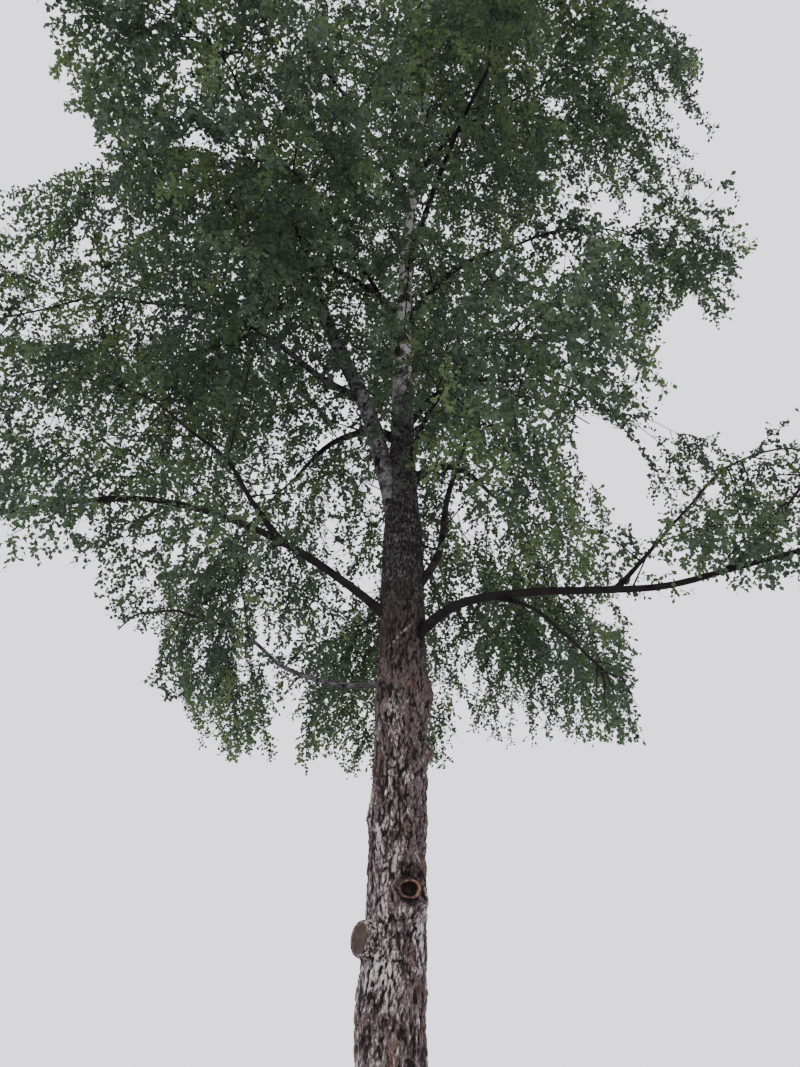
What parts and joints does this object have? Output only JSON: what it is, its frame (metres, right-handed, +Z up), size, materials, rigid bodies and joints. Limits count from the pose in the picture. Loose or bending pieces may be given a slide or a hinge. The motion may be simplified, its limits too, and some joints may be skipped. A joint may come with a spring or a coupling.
{
  "type": "birch tree",
  "caption": "Mature silver birch with a fissured, leaning trunk, arching lower boughs and open, weeping foliage in separate masses.",
  "frame": {"origin": "on the ground, at the centre of the flat cut under the trunk", "axes": "+Z up the trunk; +X to the right and +Y away from the side on which the trunk shows its hollow knot"},
  "size_m": [13.0988, 10.4357, 19.4464],
  "materials": {
    "trunk_bark": "deeply fissured grey-brown bark with pale silvery plates and reddish cracks",
    "bough_bark": "rough dark brown to near-black bark, paler and smoother high up",
    "foliage": "small matt green leaves on thin dark twigs"
  },
  "bodies": {
    "root": {"bough_back_left": "bough_bark", "bough_back_middle": "bough_bark", "bough_back_right": "bough_bark", "bough_front_left": "bough_bark", "bough_front_right": "bough_bark", "bough_left_fork": "bough_bark", "bough_left_low": "bough_bark", "bough_left_small": "bough_bark", "bough_right_drop": "bough_bark", "bough_right_high": "bough_bark", "bough_right_inner": "bough_bark", "bough_right_low": "bough_bark", "bough_right_middle": "bough_bark", "bough_right_outer": "bough_bark", "bough_right_steep": "bough_bark", "bough_second_stem": "bough_bark", "bough_stem_back": "bough_bark", "bough_stem_front": "bough_bark", "bough_stem_left": "bough_bark", "bough_upper_1": "bough_bark", "bough_upper_2": "bough_bark", "bough_upper_3": "bough_bark", "bough_upper_4": "bough_bark", "bough_upper_5": "bough_bark", "bough_upper_6": "bough_bark", "leaves_back_left": "foliage", "leaves_back_middle": "foliage", "leaves_back_right": "foliage", "leaves_crown_top": "foliage", "leaves_front_left": "foliage", "leaves_front_right": "foliage", "leaves_left_fork": "foliage", "leaves_left_low": "foliage", "leaves_left_small": "foliage", "leaves_right_drop": "foliage", "leaves_right_high": "foliage", "leaves_right_inner": "foliage", "leaves_right_low": "foliage", "leaves_right_middle": "foliage", "leaves_right_outer": "foliage", "leaves_right_steep": "foliage", "leaves_second_stem": "foliage", "leaves_shoot_1": "foliage", "leaves_shoot_2": "foliage", "leaves_shoot_3": "foliage", "leaves_shoot_4": "foliage", "leaves_shoot_5": "foliage", "leaves_shoot_6": "foliage", "leaves_stem_back": "foliage", "leaves_stem_front": "foliage", "leaves_stem_left": "foliage", "leaves_upper_1": "foliage", "leaves_upper_2": "foliage", "leaves_upper_3": "foliage", "leaves_upper_4": "foliage", "leaves_upper_5": "foliage", "leaves_upper_6": "foliage", "trunk": "trunk_bark"}
  },
  "joints": []
}
